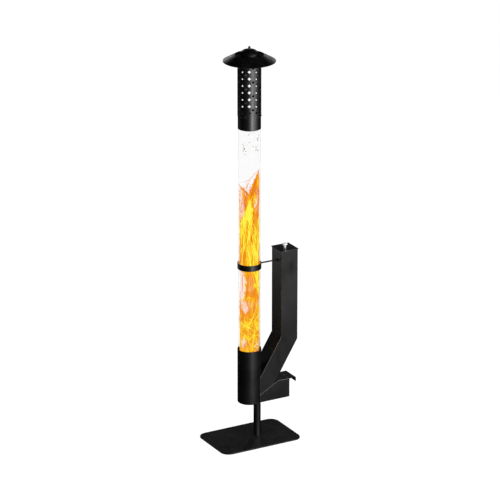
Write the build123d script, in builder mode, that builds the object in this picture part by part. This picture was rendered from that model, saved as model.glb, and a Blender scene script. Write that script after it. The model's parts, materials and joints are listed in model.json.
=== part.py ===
"""Outdoor pellet heater with a glass flame tube, a gravity hopper and a perforated chimney.

Millimetres, +Z up. The origin is on the ground, under the axis of the burner and the glass.
+X runs along the base plate's long side, from the burner towards the hopper.
"""
import os
from math import asin, cos, radians, sin, tan

from build123d import *

os.makedirs("parts", exist_ok=True)

# ---------------------------------------------------------------- driving dimensions
sheet = 2.0  # wall of the folded and rolled steel parts
weld_gap = 0.1  # gap left between a welded part and a round shell
slip_gap = 0.3  # gap between pieces that come apart by hand

plate_length = 412.0
plate_width = 272.0
plate_thickness = 6.0
plate_corner = 42.0
plate_centre_x = 3.0

post_radius = 16.85  # 33.7 mm (1 inch nominal) pipe
post_wall = 2.6
post_x = 41.0

body_bottom = 183.0  # underside of the burner and of the ash box
burner_radius = 55.0
burner_top = 445.0
burner_floor_thickness = 4.0

glass_radius = 51.0
glass_wall = 4.0
glass_bottom = 417.0
glass_top = 1515.0

ring_radius = 54.7
ring_bottom = 836.0
ring_top = 864.0
rod_radius = 3.75
rod_height = 850.0

hopper_inner_x = 142.0  # hopper wall nearest to the glass
hopper_outer_x = 229.0
hopper_half_width = 45.0
hopper_top = 901.0
hopper_edge_radius = 3.0
hopper_bend_z = 488.0  # height of the bend on the inner wall
chute_angle = 31.2  # degrees from the vertical

box_end_x = 185.0
box_top = 274.0
slide_bend_x = 126.0
slide_angle = 28.9  # degrees below the horizontal
handle_reach = 36.5
handle_lip = 21.0

pot_radius = 42.0
pot_wall = 1.6
pot_bottom = 219.0
pot_top = 322.0

collar_radius = 52.3
collar_wall = 1.0
collar_bottom = 1502.0
stack_bottom = 1560.0
stack_top = 1820.0
stack_radius = 53.5
stack_wall = 1.0

hat_radius = 119.0
hat_rim_z = 1815.0
hat_crease_radius = 64.0
hat_crease_z = 1842.0
cap_radius = 43.0
cap_base_z = 1847.0
cap_top_radius = 18.0
cap_top_z = 1866.5
overall_height = 1882.5

# ---------------------------------------------------------------- derived values
burner_inner = burner_radius - sheet
floor_top = body_bottom + burner_floor_thickness
outside_burner = burner_radius + weld_gap
inside_burner = burner_inner - weld_gap
glass_inner = glass_radius - glass_wall
hopper_inside = hopper_half_width - sheet
hopper_middle_x = (hopper_inner_x + hopper_outer_x) / 2
chute_run = tan(radians(chute_angle))  # sideways travel of the chute for each unit of height
slide_fall = tan(radians(slide_angle))
collar_inner = collar_radius - collar_wall
stack_inner = stack_radius - stack_wall


def mitre_z(x):
    """Height of the hopper's bend line at x: the line that halves the angle of the bend."""
    return hopper_bend_z - (x - hopper_inner_x) * tan(radians(chute_angle / 2))


def chute_x(x_at_bend, z):
    """x at height z on the chute wall that starts at x_at_bend on the bend line."""
    return x_at_bend - (mitre_z(x_at_bend) - z) * chute_run


def slide_z(x):
    """Height of the top face of the sloping part of the pellet slide."""
    return box_top - (slide_bend_x - x) * slide_fall


def save(part, name):
    """Label a finished piece and write it as its own STEP file."""
    part.label = name
    export_step(part, f"parts/{name}.step")


def ring_part(outer, inner, low, high, edge=0.0):
    """A plain ring about the burner axis, with its outer edges rounded if edge is given."""
    with BuildPart() as ring:
        with BuildSketch(Plane.XY.offset(low)):
            Circle(outer)
            Circle(inner, mode=Mode.SUBTRACT)
        extrude(amount=high - low)
        if edge:
            outer_edges = [e for e in ring.edges().filter_by(GeomType.CIRCLE) if e.radius > outer - 0.01]
            fillet(outer_edges, edge)
    return ring.part


def screw_part(head_radius, head_height, shank_radius, length, plane):
    """A pan head on the plane, its shank running back along the plane's normal."""
    with BuildPart() as screw:
        with BuildSketch(plane):
            Circle(head_radius)
        extrude(amount=head_height)
        fillet(screw.edges().sort_by(Axis(plane.origin, plane.z_dir))[-1], head_height * 0.4)
        with BuildSketch(plane):
            Circle(shank_radius)
        extrude(amount=-length)
    return screw.part


def hex_nut_part(across_flats, height, bore, plane):
    """A hexagon nut standing on the plane."""
    with BuildPart() as nut:
        with BuildSketch(plane):
            RegularPolygon(across_flats / 2, 6, major_radius=False)
            Circle(bore, mode=Mode.SUBTRACT)
        extrude(amount=height)
    return nut.part


def radial_plane(angle, radius, z):
    """A plane facing out from the burner axis, its local y up."""
    outward = (cos(radians(angle)), sin(radians(angle)), 0)
    along = (-sin(radians(angle)), cos(radians(angle)), 0)
    origin = (outward[0] * radius, outward[1] * radius, z)
    return Plane(origin=origin, x_dir=along, z_dir=outward)


# ================================================================ stand
base_screw_radius = 5.0
base_head_radius = 9.5
base_head_height = 4.6
head_sink = 0.6  # the screw head stays this far above the ground
plate_edge_radius = 1.2

# Base plate: flat steel with round corners and a countersunk hole under the post.
with BuildPart() as base_plate:
    with BuildSketch():
        with Locations((plate_centre_x, 0)):
            RectangleRounded(plate_length, plate_width, plate_corner)
    extrude(amount=plate_thickness)
    fillet(base_plate.faces().sort_by(Axis.Z)[-1].edges(), plate_edge_radius)
    with BuildSketch():
        with Locations((post_x, 0)):
            Circle(base_screw_radius + 0.3)
    extrude(amount=plate_thickness, mode=Mode.SUBTRACT)
    with BuildSketch():
        with Locations((post_x, 0)):
            Circle(base_head_radius + 0.3)
    extrude(amount=base_head_height + head_sink, taper=45, mode=Mode.SUBTRACT)
save(base_plate.part, "base_plate")

# Post: a short steel pipe with a threaded plug welded into each end.
with BuildPart() as post_tube:
    with BuildSketch(Plane.XY.offset(plate_thickness)):
        with Locations((post_x, 0)):
            Circle(post_radius)
            Circle(post_radius - post_wall, mode=Mode.SUBTRACT)
    extrude(amount=body_bottom - plate_thickness)
save(post_tube.part, "post_tube")

plug_height = 22.0
for name, low in (("post_foot_plug", plate_thickness), ("post_head_plug", body_bottom - plug_height)):
    with BuildPart() as plug:
        with BuildSketch(Plane.XY.offset(low)):
            with Locations((post_x, 0)):
                Circle(post_radius - post_wall - weld_gap)
                Circle(base_screw_radius + 0.05, mode=Mode.SUBTRACT)
        extrude(amount=plug_height)
    save(plug.part, name)

# Countersunk screw that clamps the base plate to the post.
base_screw_reach = 17.0  # how far the screw goes up into the post's plug
hex_socket_radius = 3.0
hex_socket_depth = 2.4
with BuildPart() as base_screw:
    with BuildSketch(Plane.XY.offset(head_sink)):
        with Locations((post_x, 0)):
            Circle(base_head_radius - head_sink)
    extrude(amount=base_head_height - head_sink, taper=43)
    with BuildSketch(Plane.XY.offset(head_sink)):
        with Locations((post_x, 0)):
            Circle(base_screw_radius)
    extrude(amount=plate_thickness + base_screw_reach)
    with BuildSketch(Plane.XY.offset(head_sink)):
        with Locations((post_x, 0)):
            RegularPolygon(hex_socket_radius, 6)
    extrude(amount=hex_socket_depth, mode=Mode.SUBTRACT)
save(base_screw.part, "base_screw")

# Low-headed bolt through the burner floor into the post.
mast_bolt = screw_part(9.0, 3.6, base_screw_radius, 20, Plane((post_x, 0, floor_top)))
save(mast_bolt, "mast_bolt")

# ================================================================ burner
feed_half_width = 26.0
feed_top = pot_top - 8
drawer_slot_half_width = 41.6
drawer_slot_top = body_bottom + 34
floor_hole_circle = 24.0
floor_hole_radius = 4.0

# Burner floor: closes the housing and carries it on the post.
with BuildPart() as burner_floor:
    with BuildSketch(Plane.XY.offset(body_bottom)):
        Circle(burner_radius)
        with Locations((post_x, 0)):
            Circle(base_screw_radius + 0.2, mode=Mode.SUBTRACT)
        with PolarLocations(floor_hole_circle, 6, start_angle=60, angular_range=300):
            Circle(floor_hole_radius, mode=Mode.SUBTRACT)
    extrude(amount=burner_floor_thickness)
    rim = [e for e in burner_floor.edges().filter_by(GeomType.CIRCLE) if e.radius > burner_radius - 0.01]
    fillet(ShapeList(rim).sort_by(Axis.Z)[0], 2.5)
save(burner_floor.part, "burner_floor")

# Burner housing: a rolled shell, open towards the ash box below and the chute above it.
with BuildPart() as burner_housing:
    with BuildSketch(Plane.XY.offset(floor_top)):
        Circle(burner_radius)
        Circle(burner_inner, mode=Mode.SUBTRACT)
    extrude(amount=burner_top - floor_top)
    top_rim = burner_housing.edges().filter_by(GeomType.CIRCLE).group_by(Axis.Z)[-1]
    fillet(top_rim, 0.6)
    with BuildSketch(Plane.YZ):
        with Locations((0, (floor_top + drawer_slot_top) / 2)):
            Rectangle(2 * drawer_slot_half_width, drawer_slot_top - floor_top)
        with Locations((0, (drawer_slot_top + feed_top) / 2)):
            Rectangle(2 * feed_half_width, feed_top - drawer_slot_top)
    extrude(amount=burner_radius + 5, mode=Mode.SUBTRACT)
save(burner_housing.part, "burner_housing")

# Ledge ring, burn pot and grate: the pot hangs by its flange, the grate lies on its lip.
ledge_thickness = 3.0
pot_flange_z = pot_top - pot_wall
pot_ledge = ring_part(inside_burner, pot_radius + 2, pot_flange_z - ledge_thickness, pot_flange_z)
save(pot_ledge, "pot_ledge")

pot_window_half = feed_half_width - 2.5
pot_lip = 8.0  # width of the inward lip that the grate lies on
air_hole_radius = 3.0
air_row_pitch = 18.0
first_air_row_z = pot_bottom + 24
with BuildPart() as burn_pot:
    with BuildSketch(Plane.XY.offset(pot_bottom)):
        Circle(pot_radius)
        Circle(pot_radius - pot_wall, mode=Mode.SUBTRACT)
    extrude(amount=pot_top - pot_bottom)
    with BuildSketch(Plane.XY.offset(pot_bottom)):
        Circle(pot_radius)
        Circle(pot_radius - pot_lip, mode=Mode.SUBTRACT)
    extrude(amount=pot_wall)
    with BuildSketch(Plane.XY.offset(pot_flange_z)):
        Circle(inside_burner - 2)
        Circle(pot_radius - pot_wall, mode=Mode.SUBTRACT)
    extrude(amount=pot_wall)
    with BuildSketch(Plane.YZ.offset(pot_radius / 2)):
        with Locations((0, (pot_bottom + 5 + pot_top - 15) / 2)):
            Rectangle(2 * pot_window_half, pot_top - pot_bottom - 20)
    extrude(amount=pot_radius, mode=Mode.SUBTRACT)
    for row in range(4):
        first = 54 + (row % 2) * 9
        for column in range(15):
            plane = radial_plane(first + column * 18, pot_radius - 5, first_air_row_z + row * air_row_pitch)
            with BuildSketch(plane):
                Circle(air_hole_radius)
            extrude(amount=10, mode=Mode.SUBTRACT)
save(burn_pot.part, "burn_pot")

grate_z = pot_bottom + pot_wall
grate_thickness = 3.0
grate_slot_width = 4.5
grate_slot_pitch = 8.5
with BuildPart() as fire_grate:
    with BuildSketch(Plane.XY.offset(grate_z)):
        Circle(pot_radius - pot_wall - slip_gap)
        for row in range(-3, 4):
            slot_length = 2 * (pot_radius - 10) * cos(radians(row * 22))
            with Locations((0, row * grate_slot_pitch)):
                SlotOverall(slot_length, grate_slot_width, mode=Mode.SUBTRACT)
    extrude(amount=grate_thickness)
save(fire_grate.part, "fire_grate")

# Ring that carries the glass, and the fibre gasket between them.
seat_gasket_thickness = 3.0
glass_seat_thickness = 4.0
glass_seat_top = glass_bottom - seat_gasket_thickness
glass_seat = ring_part(inside_burner, glass_inner - 2, glass_seat_top - glass_seat_thickness, glass_seat_top)
save(glass_seat, "glass_seat")
seat_gasket = ring_part(glass_radius, glass_inner, glass_seat_top, glass_bottom - 0.02)
save(seat_gasket, "seat_gasket")

# ================================================================ hopper, chute and ash box
# Hopper: a square tube, mitred into a chute that runs down into the burner.
far_left = 10.0  # well inside the burner, where the chute is cut off
with BuildPart() as hopper_tube:
    with BuildSketch(Plane.XZ.offset(-hopper_half_width)):
        with BuildLine():
            foot_x = (box_top - slide_bend_x * slide_fall - mitre_z(hopper_outer_x)
                      + hopper_outer_x / chute_run) / (1 / chute_run - slide_fall)
            Polyline(
                (hopper_inner_x, hopper_top),
                (hopper_outer_x, hopper_top),
                (hopper_outer_x, mitre_z(hopper_outer_x)),
                (foot_x, slide_z(foot_x)),
                (far_left, slide_z(far_left)),
                (far_left, hopper_bend_z - (hopper_inner_x - far_left) / chute_run),
                (hopper_inner_x, hopper_bend_z),
                close=True,
            )
        make_face()
    extrude(amount=2 * hopper_half_width)
    long_edges = [
        e for e in hopper_tube.edges().filter_by(GeomType.LINE)
        if abs((e @ 0).Y - (e @ 1).Y) < 0.01 and e.length > 150
    ]
    fillet(long_edges, hopper_edge_radius)
    with BuildSketch(Plane.XZ.offset(-hopper_inside)):
        with BuildLine():
            inner_a = hopper_inner_x + sheet
            inner_b = hopper_outer_x - sheet
            low = body_bottom
            Polyline(
                (inner_a, hopper_top + 5),
                (inner_b, hopper_top + 5),
                (inner_b, mitre_z(inner_b)),
                (chute_x(inner_b, low), low),
                (0, low),
                (0, mitre_z(inner_a) - inner_a / chute_run),
                (inner_a, mitre_z(inner_a)),
                close=True,
            )
        make_face()
    extrude(amount=2 * hopper_inside, mode=Mode.SUBTRACT)
    with BuildSketch():
        Circle(outside_burner)
    extrude(amount=hopper_top, mode=Mode.SUBTRACT)
    with BuildSketch(Plane.YZ.offset(hopper_inner_x - 1)):
        with Locations((0, rod_height)):
            Circle(rod_radius + 0.15)
    extrude(amount=sheet + 2, mode=Mode.SUBTRACT)
save(hopper_tube.part, "hopper_tube")


def slide_profile(left):
    """Side view of the bent slide plate, cut off at x = left."""
    under = sheet / cos(radians(slide_angle))
    under_bend_x = slide_bend_x + (under - sheet) / slide_fall
    with BuildSketch(Plane.XZ) as profile:
        with BuildLine():
            Polyline(
                (left, slide_z(left)),
                (slide_bend_x, box_top),
                (box_end_x, box_top),
                (box_end_x, box_top - sheet),
                (under_bend_x, box_top - sheet),
                (left, slide_z(left) - under),
                close=True,
            )
        make_face()
    return profile.sketch


# Pellet slide: roof of the ash box, bent down to a channelled tongue that ends at the burn pot.
tongue_half = feed_half_width - 0.6
tongue_wall = 1.5
tongue_lip = 12.0
tongue_start = 30.0
tongue_end = 60.0
with BuildPart() as feed_slide:
    extrude(slide_profile(20), amount=hopper_half_width, both=True)
    with BuildSketch():
        Circle(outside_burner)
    extrude(amount=hopper_top, mode=Mode.SUBTRACT)
    extrude(slide_profile(20), amount=tongue_half, both=True)
    for side in (-1, 1):
        with BuildSketch(Plane.XZ.offset(side * (tongue_half - tongue_wall / 2))):
            with BuildLine():
                Polyline(
                    (tongue_start, slide_z(tongue_start) - 0.5),
                    (tongue_end, slide_z(tongue_end) - 0.5),
                    (tongue_end, slide_z(tongue_end) + tongue_lip),
                    (tongue_start, slide_z(tongue_start) + tongue_lip),
                    close=True,
                )
            make_face()
        extrude(amount=tongue_wall / 2, both=True)
    with BuildSketch():
        Circle(pot_radius + 0.4)
    extrude(amount=hopper_top, mode=Mode.SUBTRACT)
save(feed_slide.part, "feed_slide")

# Ash box: folded channel under the slide, open at its end for the drawer.
with BuildPart() as ash_box:
    with BuildSketch(Plane.XZ.offset(-hopper_half_width)):
        with BuildLine():
            under = sheet / cos(radians(slide_angle))
            Polyline(
                (20, body_bottom),
                (box_end_x, body_bottom),
                (box_end_x, box_top - sheet),
                (slide_bend_x + (under - sheet) / slide_fall, box_top - sheet),
                (20, slide_z(20) - under),
                close=True,
            )
        make_face()
    extrude(amount=2 * hopper_half_width)
    folds = ash_box.edges().filter_by(Axis.X).group_by(Axis.Z)[0]
    fillet(folds, 1.5)
    with BuildSketch(Plane.XZ.offset(-hopper_inside)):
        with Locations((box_end_x / 2, (body_bottom + sheet + box_top + 20) / 2)):
            Rectangle(box_end_x + 20, box_top + 20 - body_bottom - sheet)
    extrude(amount=2 * hopper_inside, mode=Mode.SUBTRACT)
    with BuildSketch():
        Circle(outside_burner)
    extrude(amount=box_top, mode=Mode.SUBTRACT)
save(ash_box.part, "ash_box")

# Rails that the ash drawer slides on.
rail_height = 7.0
rail_width = 7.0
rail_start = 57.0
tray_bottom = body_bottom + sheet + rail_height + 0.2
with BuildPart() as drawer_rails:
    with BuildSketch(Plane.XY.offset(body_bottom + sheet)):
        with Locations(((rail_start + box_end_x - 2) / 2, 0)):
            with GridLocations(0, 2 * hopper_inside - rail_width, 1, 2):
                Rectangle(box_end_x - 2 - rail_start, rail_width)
    extrude(amount=rail_height)
save(drawer_rails.part, "drawer_rails")

# Ash tray: a pan with a round nose that reaches under the grate.
tray_half = 40.0
tray_wall = 1.2
tray_top = body_bottom + 32
front_x = box_end_x + slip_gap
rivet_radius = 2.0
rivet_hole = rivet_radius + 0.1
rivet_spread = 50.0
rivet_z = (tray_bottom + tray_top) / 2
with BuildPart() as ash_tray:
    with BuildSketch(Plane.XY.offset(tray_bottom)) as outline:
        with Locations((front_x / 2, 0)):
            Rectangle(front_x, 2 * tray_half)
        Circle(tray_half)
    extrude(amount=tray_top - tray_bottom)
    offset(amount=-tray_wall, openings=ash_tray.faces().sort_by(Axis.Z)[-1])
    with BuildSketch(Plane.YZ.offset(front_x)):
        with Locations((0, rivet_z)):
            with GridLocations(rivet_spread, 0, 2, 1):
                Circle(rivet_hole)
    extrude(amount=-2 * tray_wall, mode=Mode.SUBTRACT)
save(ash_tray.part, "ash_tray")

# Drawer front: closes the ash box, and its top edge folds out and down as the handle.
front_bottom = body_bottom + 0.5
handle_x = box_end_x + handle_reach
air_slot_length = 52.0
air_slot_width = 5.0
air_slot_pitch = 13.0
with BuildPart() as drawer_front:
    with BuildSketch(Plane.XZ.offset(-hopper_half_width)):
        with BuildLine():
            Polyline(
                (front_x, front_bottom),
                (front_x, box_top),
                (handle_x, box_top),
                (handle_x, box_top - handle_lip),
                (handle_x - sheet, box_top - handle_lip),
                (handle_x - sheet, box_top - sheet),
                (front_x + sheet, box_top - sheet),
                (front_x + sheet, front_bottom),
                close=True,
            )
        make_face()
    extrude(amount=2 * hopper_half_width)
    fold = drawer_front.edges().filter_by(Axis.Y).sort_by(Axis.X)[-4:].sort_by(Axis.Z)[-1]
    fillet(fold, 1.8)
    with BuildSketch(Plane.YZ.offset(front_x)):
        with Locations((0, rivet_z)):
            with GridLocations(rivet_spread, 0, 2, 1):
                Circle(rivet_hole)
        with Locations((0, tray_top + 18)):
            with GridLocations(0, air_slot_pitch, 1, 3):
                SlotOverall(air_slot_length, air_slot_width)
    extrude(amount=sheet, mode=Mode.SUBTRACT)
save(drawer_front.part, "drawer_front")

rivet_planes = [
    Plane(origin=(front_x + sheet, y, rivet_z), x_dir=(0, 1, 0), z_dir=(1, 0, 0))
    for y in (-rivet_spread / 2, rivet_spread / 2)
]
rivet_length = sheet + tray_wall + 0.6
rivets = [screw_part(2 * rivet_radius, 1.4, rivet_radius, rivet_length, plane) for plane in rivet_planes]
save(Compound(children=rivets), "drawer_rivets")

# ================================================================ hopper lid
lid_thickness = 3.0
lid_overhang = 2.5
knob_radius = 12.5
knob_height = 22.0
knob_bore = 2.6
lid_top = hopper_top + lid_thickness + 0.02
with BuildPart() as hopper_lid:
    with BuildSketch(Plane.XY.offset(lid_top - lid_thickness)):
        with Locations((hopper_middle_x, 0)):
            RectangleRounded(
                hopper_outer_x - hopper_inner_x + 2 * lid_overhang,
                2 * (hopper_half_width + lid_overhang),
                hopper_edge_radius,
            )
            Circle(knob_bore, mode=Mode.SUBTRACT)
    extrude(amount=lid_thickness)
    fillet(hopper_lid.faces().sort_by(Axis.Z)[-1].outer_wire().edges(), 0.8)
save(hopper_lid.part, "hopper_lid")

# Locating frame welded under the lid, loose inside the hopper's mouth.
liner_wall = 1.5
liner_depth = 12.0
liner_length = hopper_outer_x - hopper_inner_x - 2 * sheet - 2
liner_width = 2 * hopper_inside - 2
with BuildPart() as lid_frame:
    with BuildSketch(Plane.XY.offset(lid_top - lid_thickness)):
        with Locations((hopper_middle_x, 0)):
            RectangleRounded(liner_length, liner_width, 3)
            RectangleRounded(
                liner_length - 2 * liner_wall,
                liner_width - 2 * liner_wall,
                3 - liner_wall,
                mode=Mode.SUBTRACT,
            )
    extrude(amount=-liner_depth)
save(lid_frame.part, "lid_frame")

# Knob: a turned mushroom with a short stem.
dome_half = knob_radius - 0.8
dome_rise = 6.6
dome_radius = (dome_half**2 + dome_rise**2) / (2 * dome_rise)
dome_angle = asin(dome_half / dome_radius)
knob_foot = Plane(origin=(hopper_middle_x, 0, lid_top), x_dir=(1, 0, 0), z_dir=(0, -1, 0))
with BuildPart() as lid_knob:
    with BuildSketch(knob_foot):
        with BuildLine():
            base = Line((knob_bore, 0), (6.5, 0))
            stem = Line(base @ 1, (5.2, 2.2))
            neck = Line(stem @ 1, (5.2, 7))
            flare = ThreePointArc(neck @ 1, (7.6, 10.6), (knob_radius - 1.2, 12))
            edge = ThreePointArc(flare @ 1, (knob_radius, 13.6), (dome_half, knob_height - dome_rise))
            dome = ThreePointArc(
                edge @ 1,
                (dome_radius * sin(dome_angle / 2), knob_height - dome_radius * (1 - cos(dome_angle / 2))),
                (0, knob_height),
            )
            middle = Line(dome @ 1, (0, 14))
            blind = Line(middle @ 1, (knob_bore, 14))
            Line(blind @ 1, base @ 0)
        make_face()
    revolve(axis=Axis((hopper_middle_x, 0, 0), (0, 0, 1)))
save(lid_knob.part, "lid_knob")

under_lid = Plane(origin=(hopper_middle_x, 0, lid_top - lid_thickness), x_dir=(1, 0, 0), z_dir=(0, 0, -1))
knob_screw = screw_part(4.8, 2.2, knob_bore - 0.1, lid_thickness + 12, under_lid)
save(knob_screw, "knob_screw")

# ================================================================ glass and its support
glass_tube = ring_part(glass_radius, glass_inner, glass_bottom, glass_top)
save(glass_tube, "glass_tube")

ring_gasket_outer = ring_radius - sheet - 0.05
support_ring = ring_part(ring_radius, ring_radius - sheet, ring_bottom, ring_top, edge=0.6)
save(support_ring, "support_ring")
ring_gasket = ring_part(ring_gasket_outer, glass_radius + slip_gap, ring_bottom + 2, ring_top - 2)
save(ring_gasket, "ring_gasket")

# Rod: welded to the ring, bolted through the hopper wall between two nuts.
nut_height = 5.0
rod_nut_width = 13.0
rod_end = hopper_inner_x + sheet + nut_height + 2.5
with BuildPart() as support_rod:
    with BuildSketch(Plane.YZ.offset(ring_radius - 5)):
        with Locations((0, rod_height)):
            Circle(rod_radius)
    extrude(amount=rod_end - ring_radius + 5)
    chamfer(support_rod.edges().sort_by(Axis.X)[-1], 0.8)
    with BuildSketch(Plane.XY.offset(ring_bottom)):
        Circle(ring_radius + 0.05)
    extrude(amount=ring_top - ring_bottom, mode=Mode.SUBTRACT)
save(support_rod.part, "support_rod")

nut_starts = (hopper_inner_x - nut_height, hopper_inner_x + sheet)
rod_nuts = [
    hex_nut_part(rod_nut_width, nut_height, rod_radius + 0.05,
                 Plane(origin=(x, 0, rod_height), x_dir=(0, 1, 0), z_dir=(1, 0, 0)))
    for x in nut_starts
]
save(Compound(children=rod_nuts), "rod_nuts")

# ================================================================ chimney
# Collar: sleeve that drops over the glass, with a stop ring and gasket on the glass's rim.
collar_top = stack_bottom + 8
collar_screw_z = stack_bottom + 4
collar_screw_angles = (70, 196, 322)  # between the chimney's columns of holes
screw_radius = 1.6
screw_hole = screw_radius + 0.1
with BuildPart() as stack_collar:
    with BuildSketch(Plane.XY.offset(collar_bottom)):
        Circle(collar_radius)
        Circle(collar_inner, mode=Mode.SUBTRACT)
    extrude(amount=collar_top - collar_bottom)
    foot_edges = stack_collar.edges().filter_by(GeomType.CIRCLE).group_by(Axis.Z)[0]
    fillet(foot_edges.sort_by(SortBy.RADIUS)[-1], 0.6)
    for angle in collar_screw_angles:
        with BuildSketch(radial_plane(angle, collar_radius - 8, collar_screw_z)):
            Circle(screw_hole)
        extrude(amount=16, mode=Mode.SUBTRACT)
save(stack_collar.part, "stack_collar")

collar_gasket_thickness = 2.0
stop_ring_bottom = glass_top + collar_gasket_thickness + 0.04
gasket_z = glass_top + 0.02
collar_gasket = ring_part(glass_radius, glass_inner, gasket_z, gasket_z + collar_gasket_thickness)
save(collar_gasket, "collar_gasket")
stop_ring = ring_part(collar_inner - 0.05, glass_inner - 1, stop_ring_bottom, stop_ring_bottom + sheet)
save(stop_ring, "collar_stop_ring")

# Chimney: perforated tube. Holes are diamonds on a diagonal grid of four repeating columns:
# columns 1 and 3 have a hole in every odd row, columns 0 and 2 in every fourth row.
hole_columns = 20
hole_pitch_z = 16.0
hole_side = 10.4
first_column_angle = -101.0
first_row_z = 1601.7
lowest_row = -2
highest_row = 13
bracket_screw_z = first_row_z + 12.5 * hole_pitch_z  # between two rows of holes
strap_z = bracket_screw_z + 6
bracket_screw_angles = (0, 180)
stack_screws = [(angle, collar_screw_z) for angle in collar_screw_angles]
stack_screws += [(angle, bracket_screw_z) for angle in bracket_screw_angles]


def rows_of(column):
    """Rows of the diagonal grid that have a hole in this column."""
    rows = range(lowest_row, highest_row + 1)
    if column % 2:
        return [row for row in rows if row % 2]
    return [row for row in rows if (row - column) % 4 == 0]


with BuildPart() as perforated_stack:
    with BuildSketch(Plane.XY.offset(stack_bottom)):
        Circle(stack_radius)
        Circle(stack_inner, mode=Mode.SUBTRACT)
    extrude(amount=stack_top - stack_bottom)
    for column in range(hole_columns):
        angle = first_column_angle + column * 360 / hole_columns
        with BuildSketch(radial_plane(angle, stack_radius - 8, first_row_z)):
            with Locations([(0, row * hole_pitch_z) for row in rows_of(column)]):
                Rectangle(hole_side, hole_side, rotation=45)
        extrude(amount=16, mode=Mode.SUBTRACT)
    for angle, height in stack_screws:
        with BuildSketch(radial_plane(angle, stack_radius - 8, height)):
            Circle(screw_hole)
        extrude(amount=16, mode=Mode.SUBTRACT)
save(perforated_stack.part, "perforated_stack")

# Bracket: a strap across the chimney's mouth with its ends folded down and screwed to the wall.
strap_width = 20.0
strap_drop = 14.0
strap_half = stack_inner - 0.4
strap_end = strap_half - 3.2  # inner face of a folded end before it is rounded to the wall
stud_radius = 3.0
with BuildPart() as hat_bracket:
    with BuildSketch(Plane.XZ):
        with BuildLine():
            Polyline(
                (-strap_half, strap_z - strap_drop),
                (-strap_half, strap_z + sheet),
                (strap_half, strap_z + sheet),
                (strap_half, strap_z - strap_drop),
                (strap_end, strap_z - strap_drop),
                (strap_end, strap_z),
                (-strap_end, strap_z),
                (-strap_end, strap_z - strap_drop),
                close=True,
            )
        make_face()
    extrude(amount=strap_width / 2, both=True)
    with BuildSketch(Plane.XY.offset(strap_z - strap_drop - 1)):
        Circle(strap_half)
    extrude(amount=strap_drop + sheet + 2, mode=Mode.INTERSECT)
    with BuildSketch(Plane.XY.offset(strap_z - 1)):
        Circle(stud_radius + 0.05)
    extrude(amount=sheet + 2, mode=Mode.SUBTRACT)
    with BuildSketch(Plane.YZ.offset(-stack_radius)):
        with Locations((0, bracket_screw_z)):
            Circle(screw_hole)
    extrude(amount=2 * stack_radius, mode=Mode.SUBTRACT)
save(hat_bracket.part, "hat_bracket")

# Hat: a brim with a raised crease, and a smaller cap that covers its middle.
hat_sheet = 1.5
lip_height = 3.0
tray_z = cap_base_z - 5.0  # the brim's flat middle, inside the crease
stud_hole = stud_radius + 0.2
brim_slope = (hat_crease_z - hat_rim_z) / (hat_radius - hat_crease_radius)
with BuildPart() as hat_brim:
    with BuildSketch(Plane.XZ):
        with BuildLine():
            Polyline(
                (hat_radius - 0.6, hat_rim_z - 1.2),
                (hat_radius, hat_rim_z),
                (hat_crease_radius + 1.5, hat_crease_z + lip_height),
                (hat_crease_radius - 1.5, hat_crease_z + lip_height),
                (hat_crease_radius - 4, tray_z),
                (stud_hole, tray_z),
                (stud_hole, tray_z - hat_sheet),
                (hat_crease_radius - 4.5, tray_z - hat_sheet),
                (hat_crease_radius, hat_crease_z - hat_sheet),
                (hat_radius - 4.5, hat_rim_z - 0.2),
                close=True,
            )
        make_face()
    revolve(axis=Axis.Z)
save(hat_brim.part, "hat_brim")

with BuildPart() as hat_cap:
    with BuildSketch(Plane.XZ):
        with BuildLine():
            outer_foot = Line((cap_radius - hat_sheet, tray_z), (cap_radius, tray_z))
            skirt = Line(outer_foot @ 1, (cap_radius, cap_base_z))
            slope = ThreePointArc(skirt @ 1, (36.0, cap_base_z + 11.5), (cap_top_radius, cap_top_z))
            shoulder = Line(slope @ 1, (stud_hole, cap_top_z + 1.0))
            bore_wall = Line(shoulder @ 1, (stud_hole, cap_top_z + 1.0 - hat_sheet))
            under_top = Line(bore_wall @ 1, (cap_top_radius - 0.4, cap_top_z - hat_sheet))
            under_slope = ThreePointArc(
                under_top @ 1, (34.8, cap_base_z + 10.4), (cap_radius - hat_sheet, cap_base_z - 0.6)
            )
            Line(under_slope @ 1, outer_foot @ 0)
        make_face()
    revolve(axis=Axis.Z)
save(hat_cap.part, "hat_cap")

# Stud, the nut that holds the brim off the bracket, and the turned nut on top.
stud_overhang = 6.0  # length of stud beyond the strap, and up inside the finial nut
finial_foot = cap_top_z + 1.0
with BuildPart() as hat_stud:
    with BuildSketch(Plane.XY.offset(strap_z - stud_overhang)):
        Circle(stud_radius)
    extrude(amount=finial_foot + stud_overhang - (strap_z - stud_overhang))
    chamfer(hat_stud.edges().sort_by(Axis.Z)[-1], 0.6)
save(hat_stud.part, "hat_stud")

stud_nut_width = 10.0
stud_nut_levels = (strap_z - nut_height, strap_z + sheet, tray_z - hat_sheet - nut_height)
stud_nuts = [
    hex_nut_part(stud_nut_width, nut_height, stud_radius + 0.05, Plane((0, 0, z))) for z in stud_nut_levels
]
save(Compound(children=stud_nuts), "stud_nuts")

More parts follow.
